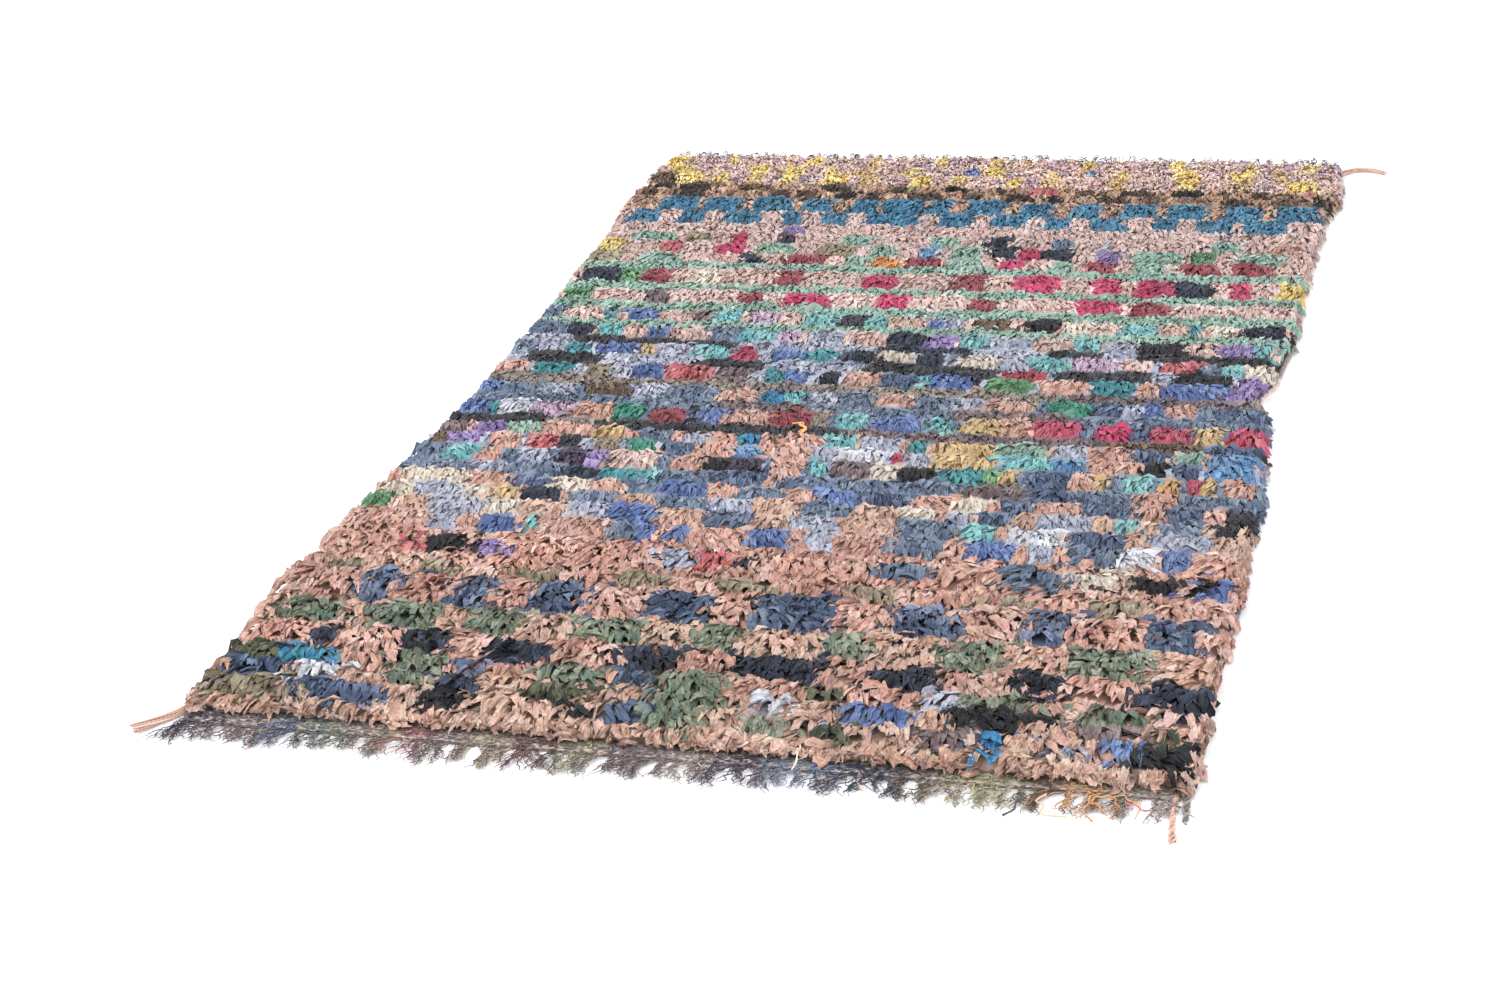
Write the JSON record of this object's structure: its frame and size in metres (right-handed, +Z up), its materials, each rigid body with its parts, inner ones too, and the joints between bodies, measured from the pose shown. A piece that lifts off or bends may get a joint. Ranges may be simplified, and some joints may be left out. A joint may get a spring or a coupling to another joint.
{
  "type": "boucherouite rug",
  "caption": "Hand-knotted rag rug with a deep, many-coloured strip pile, wrapped side cords, a yarn fringe at each end and warp tails at the corners.",
  "frame": {"origin": "on the floor under the middle of the woven ground", "axes": "+Z up, +Y along the rug from its near end to its far end, +X across it"},
  "size_m": [1.6479, 2.4917, 0.0433],
  "materials": {
    "rag_pile": "knotted strips of cotton and jersey rag in many colours, matt",
    "web_yarn": "plied wool and rag yarn, curly and matt",
    "side_wrap": "rag and yarn wrapped over and over, matt",
    "warp_tail": "undyed tan wool warps, matt"
  },
  "bodies": {
    "root": {"rag_pile_rug": "rag_pile", "side_cord_left": "side_wrap", "side_cord_right": "side_wrap", "near_fringe": "web_yarn", "far_fringe": "web_yarn", "tail_near_left": "warp_tail", "tail_near_right": "warp_tail", "tail_near_right_short": "warp_tail", "tail_far_right": "warp_tail"}
  },
  "joints": []
}
